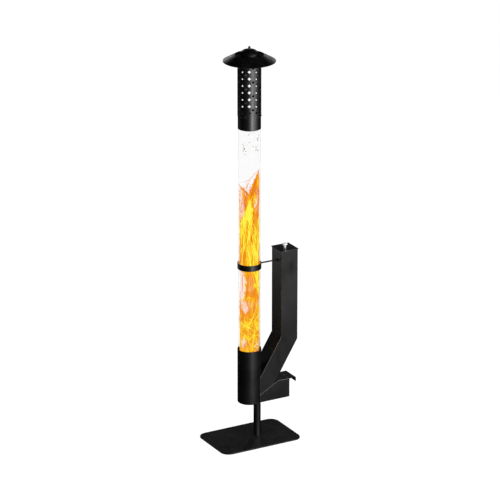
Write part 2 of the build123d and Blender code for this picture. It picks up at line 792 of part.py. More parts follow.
finial_radius = 7.0
finial_tip_radius = 5.5
with BuildPart() as finial_nut:
    with BuildSketch(Plane.XZ):
        with BuildLine():
            foot = Line((stud_radius + 0.05, finial_foot), (finial_radius, finial_foot))
            flange = Line(foot @ 1, (finial_radius, finial_foot + 2.5))
            waist = ThreePointArc(
                flange @ 1, (6.0, finial_foot + 3.6), (finial_tip_radius, finial_foot + 5.5)
            )
            side = Line(waist @ 1, (finial_tip_radius, overall_height - finial_tip_radius))
            dome = ThreePointArc(
                side @ 1,
                (finial_tip_radius * cos(radians(45)),
                 overall_height - finial_tip_radius + finial_tip_radius * sin(radians(45))),
                (0, overall_height),
            )
            down = Line(dome @ 1, (0, finial_foot + 7))
            blind = Line(down @ 1, (stud_radius + 0.05, finial_foot + 7))
            Line(blind @ 1, foot @ 0)
        make_face()
    revolve(axis=Axis.Z)
save(finial_nut.part, "finial_nut")


def radial_screws(angles, z, length):
    """Small pan-head screws through the chimney's wall, heads outside."""
    seat = stack_radius + 0.25
    return [screw_part(2 * screw_radius, 1.5, screw_radius, length, radial_plane(a, seat, z)) for a in angles]


save(Compound(children=radial_screws(bracket_screw_angles, bracket_screw_z, 6)), "bracket_screws")
save(Compound(children=radial_screws(collar_screw_angles, collar_screw_z, 5)), "collar_screws")
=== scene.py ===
import json
from math import atan2, cos, degrees, pi, radians, sin, tan
from random import Random

import bpy
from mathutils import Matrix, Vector


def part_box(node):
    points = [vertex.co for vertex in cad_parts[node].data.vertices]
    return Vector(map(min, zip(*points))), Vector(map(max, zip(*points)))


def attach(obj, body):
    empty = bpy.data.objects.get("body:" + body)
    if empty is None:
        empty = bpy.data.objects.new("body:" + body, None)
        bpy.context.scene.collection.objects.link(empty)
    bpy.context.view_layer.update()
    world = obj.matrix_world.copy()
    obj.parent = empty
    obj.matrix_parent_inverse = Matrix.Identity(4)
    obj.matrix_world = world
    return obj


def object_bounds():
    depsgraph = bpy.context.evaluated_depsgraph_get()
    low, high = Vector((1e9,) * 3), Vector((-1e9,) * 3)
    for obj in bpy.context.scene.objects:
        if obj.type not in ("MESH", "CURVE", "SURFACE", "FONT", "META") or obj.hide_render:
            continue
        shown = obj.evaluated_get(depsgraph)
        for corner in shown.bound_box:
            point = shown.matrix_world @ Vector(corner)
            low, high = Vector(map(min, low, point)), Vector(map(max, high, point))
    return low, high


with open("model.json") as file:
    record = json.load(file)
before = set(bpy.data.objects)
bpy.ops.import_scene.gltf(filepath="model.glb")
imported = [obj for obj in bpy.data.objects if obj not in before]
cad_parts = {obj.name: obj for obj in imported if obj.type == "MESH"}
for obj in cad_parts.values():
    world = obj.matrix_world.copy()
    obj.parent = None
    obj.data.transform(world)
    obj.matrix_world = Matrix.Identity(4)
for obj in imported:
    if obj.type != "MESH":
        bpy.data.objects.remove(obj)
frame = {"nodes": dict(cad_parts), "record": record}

cad_low, cad_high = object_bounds()

mm = 0.001
glass_low, glass_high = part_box("glass_tube")
glass_wall = 4 * mm
glass_inner = (glass_high.x - glass_low.x) / 2 - glass_wall
burner_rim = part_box("burner_housing")[1].z


# ---------------------------------------------------------------- camera
camera_azimuth = -29.2
camera_elevation = 19.9
camera_distance = 14.0
camera_lens = 222.4
camera_aim = (2.9 * mm, 0.490 * cad_high.z)  # sideways on screen, and height


def add_camera():
    """Long-lens camera, in front of the heater, to its left and above it."""
    azimuth = radians(camera_azimuth)
    elevation = radians(camera_elevation)
    back = Vector((sin(azimuth) * cos(elevation), -cos(azimuth) * cos(elevation), sin(elevation)))
    right = Vector((cos(azimuth), sin(azimuth), 0))
    data = bpy.data.cameras.new("camera")
    data.sensor_width = 36
    data.lens = camera_lens
    data.clip_end = 200
    camera = bpy.data.objects.new("camera", data)
    camera.location = right * camera_aim[0] + Vector((0, 0, camera_aim[1])) + back * camera_distance
    camera.rotation_mode = "QUATERNION"
    camera.rotation_quaternion = (-back).to_track_quat("-Z", "Y")
    bpy.context.scene.collection.objects.link(camera)
    bpy.context.scene.camera = camera


# ---------------------------------------------------------------- node helpers
class Look:
    """A material being built: its nodes, its shader and the coordinates its patterns use."""

    def __init__(self, name):
        self.material = bpy.data.materials.new(name)
        self.material.use_nodes = True
        self.nodes = self.material.node_tree.nodes
        self.links = self.material.node_tree.links
        self.shader = self.nodes["Principled BSDF"]
        self.output = self.nodes["Material Output"]
        self.place = self.nodes.new("ShaderNodeTexCoord").outputs["Object"]

    def link(self, source, target):
        self.links.new(source, target)

    def set(self, **values):
        """Constant values on the shader's own sockets."""
        for key, value in values.items():
            self.shader.inputs[key.replace("_", " ")].default_value = value

    def stretched(self, scale):
        """The place coordinates, multiplied by a scale for each axis."""
        mapping = self.nodes.new("ShaderNodeMapping")
        mapping.inputs["Scale"].default_value = scale
        self.link(self.place, mapping.inputs["Vector"])
        return mapping.outputs["Vector"]

    def noise(self, scale, detail=3.0, stretch=(1, 1, 1), distortion=0.0):
        """Noise from 0 to 1. The scale is in bumps to a metre."""
        node = self.nodes.new("ShaderNodeTexNoise")
        node.inputs["Scale"].default_value = scale
        node.inputs["Detail"].default_value = detail
        node.inputs["Distortion"].default_value = distortion
        self.link(self.stretched(stretch), node.inputs["Vector"])
        return node.outputs["Fac"]

    def cells(self, scale):
        """Random value for each cell of a Voronoi pattern."""
        node = self.nodes.new("ShaderNodeTexVoronoi")
        node.inputs["Scale"].default_value = scale
        self.link(self.place, node.inputs["Vector"])
        return node.outputs["Color"]

    def math(self, operation, a, b=0.0, clamp=False):
        """One arithmetic step. a and b are sockets or numbers."""
        node = self.nodes.new("ShaderNodeMath")
        node.operation = operation
        node.use_clamp = clamp
        for value, target in ((a, node.inputs[0]), (b, node.inputs[1])):
            if isinstance(value, (int, float)):
                target.default_value = value
            else:
                self.link(value, target)
        return node.outputs[0]

    def remap(self, value, low, high, out_low, out_high, smooth=False):
        """Maps low..high to out_low..out_high, clamped."""
        node = self.nodes.new("ShaderNodeMapRange")
        node.interpolation_type = "SMOOTHSTEP" if smooth else "LINEAR"
        self.link(value, node.inputs["Value"])
        limits = {"From Min": low, "From Max": high, "To Min": out_low, "To Max": out_high}
        for key, number in limits.items():
            node.inputs[key].default_value = number
        return node.outputs["Result"]

    def ramp(self, value, stops):
        """Colours along a value. Each stop is (position, (r, g, b))."""
        node = self.nodes.new("ShaderNodeValToRGB")
        elements = node.color_ramp.elements
        while len(elements) < len(stops):
            elements.new(0.5)
        for element, (position, colour) in zip(elements, stops):
            element.position = position
            element.color = (*colour, 1)
        self.link(value, node.inputs["Fac"])
        return node.outputs["Color"]

    def mix(self, factor, a, b):
        """Mixes two colours. a and b are sockets or (r, g, b)."""
        node = self.nodes.new("ShaderNodeMix")
        node.data_type = "RGBA"
        self.link(factor, node.inputs["Factor"])
        for value, target in ((a, node.inputs[6]), (b, node.inputs[7])):
            if isinstance(value, tuple):
                target.default_value = (*value, 1)
            else:
                self.link(value, target)
        return node.outputs[2]

    def edge(self, radius):
        """1 on sharp edges, fading to 0 at about the radius from them."""
        bevel = self.nodes.new("ShaderNodeBevel")
        bevel.samples = 4
        bevel.inputs["Radius"].default_value = radius
        flat = self.nodes.new("ShaderNodeNewGeometry")
        dot = self.nodes.new("ShaderNodeVectorMath")
        dot.operation = "DOT_PRODUCT"
        self.link(bevel.outputs["Normal"], dot.inputs[0])
        self.link(flat.outputs["Normal"], dot.inputs[1])
        return self.remap(dot.outputs["Value"], 0.99, 0.8, 0.0, 1.0)

    def upward(self):
        """1 on surfaces that face up, 0 on walls and undersides."""
        flat = self.nodes.new("ShaderNodeNewGeometry")
        split = self.nodes.new("ShaderNodeSeparateXYZ")
        self.link(flat.outputs["Normal"], split.inputs[0])
        return self.remap(split.outputs["Z"], 0.3, 0.95, 0.0, 1.0)

    def height(self):
        """Height above the ground."""
        split = self.nodes.new("ShaderNodeSeparateXYZ")
        self.link(self.place, split.inputs[0])
        return split.outputs["Z"]

    def bump(self, height, depth, under=None):
        """Adds a bump of the given depth in metres to the shader's normal."""
        node = self.nodes.new("ShaderNodeBump")
        node.inputs["Distance"].default_value = depth
        node.inputs["Strength"].default_value = 1.0
        self.link(height, node.inputs["Height"])
        if under:
            self.link(under, node.inputs["Normal"])
        self.link(node.outputs["Normal"], self.shader.inputs["Normal"])
        return node.outputs["Normal"]


# ---------------------------------------------------------------- metal, glass and fibre
def powder_coat_look(name="powder_coat_visual", wear_and_highlight_colour=(0.040, 0.040, 0.042)):
    """Black satin powder coat: orange-peel skin, dust on top, edges lighter and smoother from wear and also
    lighter as a painted highlight, and a few rubs.
    """
    look = Look(name)
    edge = look.edge(1.6 * mm)
    blotch = look.noise(9, detail=4)
    grain = look.noise(1500, detail=2)
    rub = look.remap(look.noise(26, detail=6, stretch=(1, 1, 0.35)), 0.60, 0.72, 0.0, 1.0)
    dust = look.math("MULTIPLY", look.upward(), look.remap(look.noise(60, detail=5), 0.45, 0.75, 0.0, 0.22))
    base = look.ramp(blotch, [(0.3, (0.0005, 0.0005, 0.0006)), (0.7, (0.0013, 0.0013, 0.0014))])
    dusty = look.mix(dust, base, (0.012, 0.012, 0.011))
    # Edges mixed towards the edge colour: partly wear, partly a painted highlight standing in for the
    # catch-light on the edges.
    worn_and_highlit = look.mix(look.math("MULTIPLY", edge, 0.6), dusty, wear_and_highlight_colour)
    look.link(worn_and_highlit, look.shader.inputs["Base Color"])
    rough = look.remap(blotch, 0.3, 0.7, 0.36, 0.46)
    rough = look.math("SUBTRACT", rough, look.math("MULTIPLY", rub, 0.05))
    rough = look.math("ADD", rough, look.math("MULTIPLY", dust, 0.5))
    rough = look.math("SUBTRACT", rough, look.math("MULTIPLY", edge, 0.08))
    look.link(rough, look.shader.inputs["Roughness"])
    skin = look.bump(look.noise(420, detail=2), 0.05 * mm)
    look.bump(grain, 0.012 * mm, skin)
    look.set(Specular_IOR_Level=0.5)
    return look.material


def black_fixings_look():
    """Black oxide screws and nuts: patchy in tone, brown at the edges."""
    look = Look("black_fixings_visual")
    edge = look.edge(0.5 * mm)
    patch = look.noise(300, detail=4)
    base = look.ramp(patch, [(0.3, (0.008, 0.008, 0.009)), (0.75, (0.020, 0.018, 0.017))])
    look.link(look.mix(edge, base, (0.10, 0.085, 0.075)), look.shader.inputs["Base Color"])
    look.link(look.remap(patch, 0.3, 0.7, 0.28, 0.45), look.shader.inputs["Roughness"])
    look.bump(look.noise(2200, detail=2), 0.01 * mm)
    look.set(Metallic=0.6)
    return look.material


def plain_steel_look():
    """Bare mild steel that heat has darkened, with rolling marks along it."""
    look = Look("plain_steel_visual")
    scale_patch = look.noise(35, detail=6)
    lines = look.noise(240, detail=3, stretch=(1, 1, 9))
    base = look.ramp(scale_patch, [
        (0.3, (0.13, 0.12, 0.115)),
        (0.55, (0.26, 0.25, 0.24)),
        (0.8, (0.30, 0.23, 0.17)),
    ])
    look.link(look.mix(look.edge(0.8 * mm), base, (0.48, 0.46, 0.44)), look.shader.inputs["Base Color"])
    look.link(look.remap(lines, 0.3, 0.7, 0.32, 0.52), look.shader.inputs["Roughness"])
    look.bump(lines, 0.015 * mm)
    look.set(Metallic=1.0)
    return look.material


def stainless_look():
    """Stainless burn pot: heat tint from straw to blue towards the bottom, with soot."""
    look = Look("stainless_visual")
    pot_low, pot_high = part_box("burn_pot")
    level = look.math("ADD", look.height(), look.remap(look.noise(40, detail=3), 0.3, 0.7, -0.012, 0.012))
    tint = look.remap(level, pot_low.z, pot_high.z, 0.0, 1.0)
    heat = look.ramp(tint, [
        (0.0, (0.16, 0.17, 0.24)),
        (0.3, (0.25, 0.16, 0.20)),
        (0.6, (0.42, 0.29, 0.15)),
        (1.0, (0.50, 0.44, 0.36)),
    ])
    soot = look.remap(look.noise(70, detail=6), 0.5, 0.7, 0.0, 0.85)
    look.link(look.mix(soot, heat, (0.012, 0.011, 0.010)), look.shader.inputs["Base Color"])
    look.link(look.remap(soot, 0.0, 0.85, 0.3, 0.8), look.shader.inputs["Roughness"])
    look.link(look.remap(soot, 0.2, 0.85, 1.0, 0.1), look.shader.inputs["Metallic"])
    look.bump(look.noise(500, detail=4), 0.03 * mm)
    return look.material


def zinc_look():
    """Zinc-plated fixings with a fine crystal pattern."""
    look = Look("zinc_visual")
    spangle = look.cells(1400)
    base = look.mix(spangle, (0.50, 0.51, 0.53), (0.70, 0.70, 0.66))
    look.link(look.mix(look.edge(0.5 * mm), base, (0.80, 0.80, 0.78)), look.shader.inputs["Base Color"])
    look.link(look.remap(look.noise(600, detail=3), 0.3, 0.7, 0.22, 0.42), look.shader.inputs["Roughness"])
    look.bump(look.noise(1800, detail=2), 0.01 * mm)
    look.set(Metallic=1.0)
    return look.material


def chrome_look():
    """Polished chrome knob with finger smudges and hairline scratches."""
    look = Look("chrome_visual")
    smudge = look.noise(160, detail=4)
    scratch = look.noise(900, detail=2, stretch=(1, 12, 1))
    look.link(look.ramp(smudge, [(0.3, (0.80, 0.80, 0.82)), (0.7, (0.90, 0.90, 0.91))]),
              look.shader.inputs["Base Color"])
    look.link(look.math("ADD", look.remap(smudge, 0.4, 0.7, 0.05, 0.16),
                        look.remap(scratch, 0.6, 0.8, 0.0, 0.08)), look.shader.inputs["Roughness"])
    look.bump(scratch, 0.002 * mm)
    look.set(Metallic=0.55)
    return look.material


def fibre_look():
    """Woven glass-fibre tape: crossing threads, slightly browned by heat."""
    look = Look("glass_fibre_visual")
    threads = []
    for direction in ("X", "Z"):
        wave = look.nodes.new("ShaderNodeTexWave")
        wave.bands_direction = direction
        wave.inputs["Scale"].default_value = 180
        wave.inputs["Distortion"].default_value = 0.6
        look.link(look.place, wave.inputs["Vector"])
        threads.append(wave.outputs["Fac"])
    weave = look.math("MAXIMUM", *threads)
    heat = look.remap(look.noise(45, detail=5), 0.45, 0.75, 0.0, 1.0)
    base = look.mix(weave, (0.42, 0.38, 0.31), (0.72, 0.69, 0.62))
    look.link(look.mix(heat, base, (0.25, 0.17, 0.10)), look.shader.inputs["Base Color"])
    look.link(look.remap(weave, 0.0, 1.0, 0.95, 0.75), look.shader.inputs["Roughness"])
    look.bump(weave, 0.25 * mm)
    look.set(Sheen_Weight=0.3)
    return look.material


def glass_look():
    """Clear borosilicate tube: faint draw lines, a little soot near the burner, wiped smears."""
    look = Look("clear_glass_visual")
    level = look.remap(look.height(), burner_rim, burner_rim + 0.12, 1.0, 0.0, smooth=True)
    soot = look.math("MULTIPLY", level, look.remap(look.noise(55, detail=6), 0.45, 0.75, 0.0, 0.12))
    look.link(look.mix(soot, (0.955, 0.957, 0.955), (0.55, 0.50, 0.44)), look.shader.inputs["Base Color"])
    smear = look.noise(30, detail=5, stretch=(1, 1, 0.15))
    look.link(look.math("ADD", look.remap(smear, 0.55, 0.8, 0.0, 0.01), look.math("MULTIPLY", soot, 0.3)),
              look.shader.inputs["Roughness"])
    look.bump(look.noise(90, detail=1, stretch=(1, 1, 0.02)), 0.001 * mm)
    look.set(Transmission_Weight=1.0, IOR=1.07, Specular_IOR_Level=0.5)
    return look.material


def dress_nodes():
    """Gives every CAD node the detailed material of its slot, and the slide plate edges painted pale as a
    highlight line along the seam.
    """
    looks = {
        "powder_coat": powder_coat_look(),
        "black_fixings": black_fixings_look(),
        "plain_steel": plain_steel_look(),
        "stainless": stainless_look(),
        "zinc_fixings": zinc_look(),
        "chrome_knob": chrome_look(),
        "clear_glass": glass_look(),
        "glass_fibre": fibre_look(),
    }
    # The slide plate's edges are painted pale grey: a painted highlight for the catch-light line along the
    # seam.
    own_looks = {"feed_slide": powder_coat_look("slide_coat_painted_highlight_visual", wear_and_highlight_colour=(0.30, 0.30, 0.30))}
    for entry in frame["record"]["subparts"]:
        mesh = frame["nodes"][entry["node"]].data
        mesh.materials.clear()
        mesh.materials.append(own_looks.get(entry["node"], looks[entry["material_slot"]]))


# ---------------------------------------------------------------- flames
# Flames are laid out on the inside of the tube by turn, in degrees to the right of the viewer's
# side, and by rise, in metres above the burner's rim. All round the tube they are drawn so that
# the far side and the near side have the same outline from the viewer's side.
tongue_clearance = 0.9 * mm  # from the glass
sheet_depth = 1.7 * mm       # behind the tongues
haze_depth = 3.5 * mm        # behind the tongues
sheet_ripple = 0.4 * mm
sheet_foot = -12 * mm        # rise of the sheet's lower edge, hidden in the burner
flame_radius = glass_inner - tongue_clearance
viewer_side = radians(camera_azimuth - 90)
sight_drop = 2 * flame_radius * tan(radians(camera_elevation))

tip_height = 12 * mm         # of the small tips along the top of the sheet
side_tip_height = 100 * mm   # of the large tips at the tube's left and right
side_notch_height = 30 * mm
side_start = 0.93            # where the large tips start, as a share of the tube's half width
gap_sharpness = 2.2          # how quickly a gap opens inside its outline
least_cover = 0.02           # thinner flame is left out of the sheet
curl_seed = 7

# Top of the flames: position across the tube from -1 to 1, and rise.
flame_top = [
    (-1.0, 0.797), (-0.8, 0.787), (-0.42, 0.774), (-0.27, 0.762), (-0.1, 0.774),
    (0.2, 0.809), (0.46, 0.836), (0.84, 0.868), (1.0, 0.880),
]

# Openings in the sheet of flame: turn, rise, half turn, half rise, lean, how open.
flame_gaps = [
    (-62, 0.318, 44, 0.088, 0.0, 1.0),
    (-34, 0.216, 28, 0.034, -0.3, 0.6),
    (-20, 0.204, 10, 0.016, 0.0, 0.5),
    (-58, 0.236, 16, 0.020, 0.0, 0.8),
    (-38, 0.036, 15, 0.021, 0.0, 0.85),
    (50, 0.022, 13, 0.021, 0.3, 0.8),
    (-70, 0.120, 10, 0.016, 0.0, 0.5),
    (-58, 0.715, 16, 0.060, 0.4, 1.0),
    (-30, 0.690, 7, 0.050, 0.0, 0.7),
    (-64, 0.650, 22, 0.030, 0.9, 0.9),
    (-46, 0.690, 6, 0.055, 0.0, 0.8),
    (40, 0.705, 8, 0.034, 0.6, 1.0),
    (50, 0.740, 4, 0.040, 0.3, 0.7),
    (-70, 0.405, 16, 0.018, 0.0, 0.9),
]

# Paler, pinker parts of the sheet: turn, rise, half turn, half rise, share.
flame_pale_spots = [
    (6, 0.322, 20, 0.050, 0.55),
    (-24, 0.300, 10, 0.040, 0.5),
    (-8, 0.225, 34, 0.030, 0.6),
    (60, 0.228, 26, 0.022, 0.5),
    (-40, 0.040, 30, 0.034, 0.6),
    (52, 0.026, 30, 0.034, 0.6),
    (60, 0.700, 24, 0.050, 0.5),
    (-60, 0.720, 40, 0.070, 0.4),
]

# Hotter, yellower parts of the sheet: turn, rise, half turn, half rise, share.
flame_hot_spots = [
    (35, 0.500, 75, 0.125, 0.46),
    (-60, 0.560, 50, 0.055, 0.38),
    (6, 0.655, 20, 0.080, 0.6),
    (-20, 0.620, 34, 0.050, 0.7),
    (0, 0.122, 100, 0.030, 0.28),
    (62, 0.345, 28, 0.090, 0.5),
    (70, 0.200, 20, 0.060, 0.3),
    (0, 0.060, 30, 0.050, 0.25),
]

# Heat of each kind of tongue, from 0 for deep orange to 1 for pale yellow.
tongue_heats = {"deep": 0.18, "yellow": 0.90}

# Single tongues: kind, width in mm, then (turn, rise) points along the tongue.
flame_tongues = [
    ("deep", 15, [(74, 0.872), (42, 0.829), (24, 0.789), (12, 0.735), (16, 0.690)]),
    ("deep", 10, [(84, 0.862), (72, 0.790), (70, 0.728), (37, 0.690), (20, 0.655)]),
    ("deep", 11, [(-88, 0.797), (-54, 0.785), (-25, 0.772), (-2, 0.752), (14, 0.728)]),
    ("deep", 4, [(-27, 0.771), (-41, 0.734), (-54, 0.690), (-41, 0.640)]),
    ("deep", 9, [(-13, 0.768), (-25, 0.727), (-25, 0.694), (-24, 0.640)]),
    ("deep", 3, [(-84, 0.792), (-80, 0.735), (-80, 0.685), (-45, 0.640)]),
    ("deep", 1.6, [(-68, 0.803), (-13, 0.824), (12, 0.840), (27, 0.854), (70, 0.869)]),
    ("deep", 1.6, [(-60, 0.800), (-30, 0.785), (-12, 0.800), (8, 0.836)]),
    ("deep", 7, [(30, 0.616), (27, 0.590), (22, 0.562)]),
    ("deep", 7, [(10, 0.572), (13, 0.545), (22, 0.515)]),
    ("deep", 14, [(-28, 0.490), (-32, 0.462), (-28, 0.420)]),
    ("deep", 9, [(34, 0.700), (26, 0.672), (30, 0.630), (40, 0.600)]),
    ("deep", 9, [(-72, 0.560), (-64, 0.530), (-74, 0.490)]),
    ("deep", 11, [(-12, 0.385), (-8, 0.340), (-14, 0.290), (-22, 0.262)]),
    ("yellow", 23, [(14, 0.748), (-2, 0.702), (-16, 0.668), (-38, 0.632), (-78, 0.588)]),
    ("yellow", 8, [(12, 0.740), (10, 0.690), (14, 0.640), (26, 0.600)]),
    ("yellow", 5, [(6, 0.618), (-2, 0.562), (-19, 0.523), (-54, 0.484), (-76, 0.446)]),
    ("yellow", 9, [(74, 0.660), (58, 0.602), (34, 0.560), (27, 0.513), (48, 0.461), (60, 0.425)]),
    ("yellow", 8, [(27, 0.622), (4, 0.591), (1, 0.553), (12, 0.514), (34, 0.483), (44, 0.432)]),
    ("yellow", 9, [(-19, 0.520), (-7, 0.486), (4, 0.448), (10, 0.410)]),
    ("yellow", 6, [(-24, 0.512), (-38, 0.482), (-44, 0.440), (-40, 0.405)]),
    ("yellow", 7, [(80, 0.600), (74, 0.540), (62, 0.500), (70, 0.450)]),
    ("yellow", 7, [(-62, 0.640), (-74, 0.596), (-60, 0.560), (-50, 0.520)]),
    ("yellow", 8, [(21, 0.410), (44, 0.342), (53, 0.287), (72, 0.258)]),
    ("yellow", 5, [(74, 0.400), (72, 0.330), (66, 0.285)]),
    ("yellow", 5, [(6, 0.405), (27, 0.340), (22, 0.292)]),
    ("yellow", 2.6, [(-31, 0.398), (-24, 0.345), (-31, 0.290), (-45, 0.254), (-74, 0.215)]),
    ("yellow", 3.4, [(-25, 0.2375), (-16, 0.258), (4, 0.2635), (18, 0.248), (12, 0.224), (-7, 0.2195)]),
    ("yellow", 5, [(48, 0.262), (44, 0.215), (27, 0.179), (12, 0.150), (-2, 0.122)]),
    ("yellow", 5, [(75, 0.245), (75, 0.188), (40, 0.157), (18, 0.135), (4, 0.105)]),
    ("yellow", 9, [(-86, 0.132), (-45, 0.131), (-16, 0.121), (4, 0.117), (26, 0.098)]),
    ("yellow", 6, [(-76, 0.160), (-72, 0.110), (-58, 0.078)]),
    ("yellow", 5, [(-24, 0.178), (-27, 0.142), (-7, 0.115), (-2, 0.080)]),
    ("yellow", 5, [(30, 0.118), (52, 0.104), (78, 0.112)]),
    ("yellow", 4, [(14, 0.090), (38, 0.074), (66, 0.082)]),
    ("yellow", 5, [(-58, 0.096), (-30, 0.080), (-8, 0.060), (6, 0.020)]),
    ("yellow", 5, [(34, 0.060), (18, 0.036), (22, 0.004)]),
]

# Small curls scattered all round: how many, lowest, highest, length, bend, widest in mm, heat.
curl_bands = [
    (100, -0.01, 0.14, 0.040, 50, 5.0, 0.92),
    (80, -0.01, 0.14, 0.030, 50, 5.0, 0.12),
    (46, 0.14, 0.40, 0.080, 24, 4.5, 0.15),
    (20, 0.16, 0.40, 0.070, 24, 3.0, 0.75),
    (80, 0.38, 0.60, 0.090, 22, 5.0, 0.95),
    (90, 0.38, 0.60, 0.070, 18, 6.5, 0.12),
    (60, 0.58, 0.72, 0.080, 14, 2.6, 0.25),
]

# Groups of sparks above the flames: turn, rise, spread of each, how many.
spark_groups = [
    (-37, 0.967, 22, 0.022, 12),
    (52, 0.966, 10, 0.016, 6),
    (62, 1.010, 8, 0.012, 5),
    (2, 0.990, 30, 0.030, 4),
    (170, 1.000, 80, 0.050, 10),
]


def spline(a, b, c, d, t):
    """Catmull-Rom curve from b, at t = 0, to c, at t = 1. a and d are the points beyond them."""
    square = (2 * a - 5 * b + 4 * c - d) * t**2
    cube = (3 * b - a - 3 * c + d) * t**3
    return 0.5 * (2 * b + (c - a) * t + square + cube)


def smooth_path(points, count):
    """count points on a smooth curve through the given points."""
    padded = [points[0], *points, points[-1]]
    path = []
    for step in range(count):
        along = step / (count - 1) * (len(points) - 1)
        first = min(int(along), len(points) - 2)
        near = padded[first:first + 4]
        path.append(tuple(spline(*values, along - first) for values in zip(*near)))
    return path


def in_tube(turn, rise, radius):
    """Place in the tube of a turn in degrees, a rise and a distance from the axis."""
    angle = viewer_side + radians(turn)
    return Vector((cos(angle) * radius, sin(angle) * radius, burner_rim + rise))


def top_rise(across):
    """Rise of the flames' top at a position across the tube."""
    for (left, left_rise), (right, right_rise) in zip(flame_top, flame_top[1:]):
        if across <= right:
            return left_rise + (right_rise - left_rise) * (across - left) / (right - left)
    return flame_top[-1][1]


def front_place(turn, rise):
    """The place on the near side that the viewer sees in front of this one."""
    folded = degrees(atan2(sin(radians(turn)), abs(cos(radians(turn)))))
    behind = max(0.0, -cos(radians(turn)))
    return folded, rise + behind * sight_drop


def wobbled(turn, rise):
    """The same place pushed about a little, so that outlines drawn with it are uneven."""
    return (
        turn + 5 * sin(150 * rise + turn / 9) + 3 * sin(310 * rise + 1.3),
        rise + 4 * mm * sin(turn / 6 + 60 * rise),
    )


def hump(turn, rise, spot_turn, spot_rise, half_turn, half_rise, lean=0.0):
    """1 in the middle of an oval spot, 0 outside it."""
    u = (turn - spot_turn - lean * (rise - spot_rise) / half_rise * half_turn) / half_turn
    v = (rise - spot_rise) / half_rise
    return max(0.0, 1 - (u * u + v * v) ** 1.5)


def ripple(turn, rise):
    """Slow swelling of the sheet, the same at turn and turn + 360, from -1 to 1."""
    angle = radians(turn)
    waves = (  # waves round the tube, radians for each metre of rise, start
        (3, 31, 0.0),
        (5, -47, 1.7),
        (2, 78, 0.6),
    )
    return sum(sin(count * angle + climb * rise + start) for count, climb, start in waves) / len(waves)


def sheet_strength(turn, rise):
    """How dense the flame is at a place, from 0 to 1."""
    front_turn, front_rise = front_place(turn, rise)
    across = sin(radians(front_turn))
    side = max(0.0, (abs(across) - side_start) / (1 - side_start))
    angle = radians(turn)
    notch = tip_height * abs(sin(9 * radians(front_turn) + 40 * front_rise))
    notch += side * (side_tip_height * abs(sin(7.5 * angle)) + side_notch_height * abs(sin(19 * angle)))
    below_top = top_rise(across) - notch - front_rise
    strength = min(1.0, max(0.0, below_top / tip_height))
    place = wobbled(front_turn, front_rise)
    for *oval, open_share in flame_gaps:
        strength *= 1 - min(1.0, gap_sharpness * hump(*place, *oval)) * open_share
    return strength


def spot_value(spots, turn, rise):
    """Strongest of the oval spots at a place, from 0 to 1."""
    front = wobbled(*front_place(turn, rise))
    return max(share * hump(*front, *spot) for *spot, share in spots)


def new_piece(name, points, faces, look, paint=None):
    """A mesh object that rides with the stand. paint is (cover, heat, paleness) for each point."""
    mesh = bpy.data.meshes.new(name)
    mesh.from_pydata(points, [], faces)
    mesh.materials.append(look)
    if paint:
        mesh.shade_smooth()
        layer = mesh.color_attributes.new("fire_paint", "FLOAT_COLOR", "POINT")
        for item, values in zip(layer.data, paint):
            item.color = (*values, 1)
    piece = bpy.data.objects.new(name, mesh)
    bpy.context.scene.collection.objects.link(piece)
    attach(piece, "stand")


def add_sheet(name, look, radius, paint_at, columns=150, rows=230):
    """A rippling sheet round the tube, cut away where its cover is nothing."""
    tallest = flame_top[-1][1]
    points = []
    paint = []
    for row in range(rows + 1):
        rise = sheet_foot + (tallest - sheet_foot) * row / rows
        for column in range(columns):
            turn = 360 * column / columns
            points.append(in_tube(turn, rise, radius + sheet_ripple * ripple(turn, rise)))
            paint.append(paint_at(turn, rise))
    faces = []
    for row in range(rows):
        for column in range(columns):
            beside = (column + 1) % columns
            low = row * columns
            high = low + columns
            corners = [low + column, low + beside, high + beside, high + column]
            if max(paint[corner][0] for corner in corners) > least_cover:
                faces.append(corners)
    new_piece(name, points, faces, look, paint)


class Tongues:
    """Many tongues of flame in one mesh: lens-shaped blades along a path, pointed at both ends."""

    stations = 26
    thickest = 1 * mm
    edge_heat = -0.2  # added at the edges
    section = ((-1, 0), (-0.45, 0.3), (0.45, 0.3), (1, 0), (0.45, -0.3), (-0.45, -0.3))

    def __init__(self):
        self.points = []
        self.faces = []
        self.paint = []

    def add(self, path, width, heat):
        """One tongue of a width in metres. It is dense and hot in its middle, thin at its edges."""
        places = smooth_path(path, self.stations)
        first = len(self.points)
        corners = len(self.section)
        for step, (turn, rise) in enumerate(places):
            before = places[max(step - 1, 0)]
            after = places[min(step + 1, self.stations - 1)]
            sideways = radians(after[0] - before[0]) * flame_radius
            upward = after[1] - before[1]
            length = (sideways**2 + upward**2) ** 0.5
            swell = sin(pi * step / (self.stations - 1)) ** 0.7
            half = width / 2 * (0.05 + swell)
            for across, out in self.section:
                shift = across * half
                self.points.append(in_tube(
                    turn + degrees(upward / length * shift / flame_radius),
                    rise - sideways / length * shift,
                    flame_radius + out * min(half, self.thickest),
                ))
                middle = 1 - abs(across) ** 3
                self.paint.append((middle * swell**0.5, heat + self.edge_heat * (1 - middle), 0))
        for step in range(self.stations - 1):
            for k in range(corners):
                here = first + step * corners + k
                beside = first + step * corners + (k + 1) % corners
                self.faces.append((here, beside, beside + corners, here + corners))
        self.faces.append(tuple(first + k for k in range(corners)))
        self.faces.append(tuple(len(self.points) - 1 - k for k in range(corners)))


def back_path(path):
    """The same tongue on the far side of the tube, where the viewer sees it through the front."""
    return [(180 - turn, rise - cos(radians(turn)) * sight_drop) for turn, rise in path]


def random_curls(chance, count, low, high, length, bend):
    """Small curls of flame all round the tube, between two rises."""
    curls = []
    for _ in range(count):
        turn = chance.uniform(0, 360)
        rise = chance.uniform(low, high)
        lean = chance.uniform(-bend, bend)
        size = length * chance.uniform(0.6, 1.3)
        curls.append([
            (turn, rise),
            (turn + lean * 0.7, rise + size * 0.35),
            (turn + lean * 0.4, rise + size * 0.7),
            (turn + lean * 1.1, rise + size),
        ])
    return curls


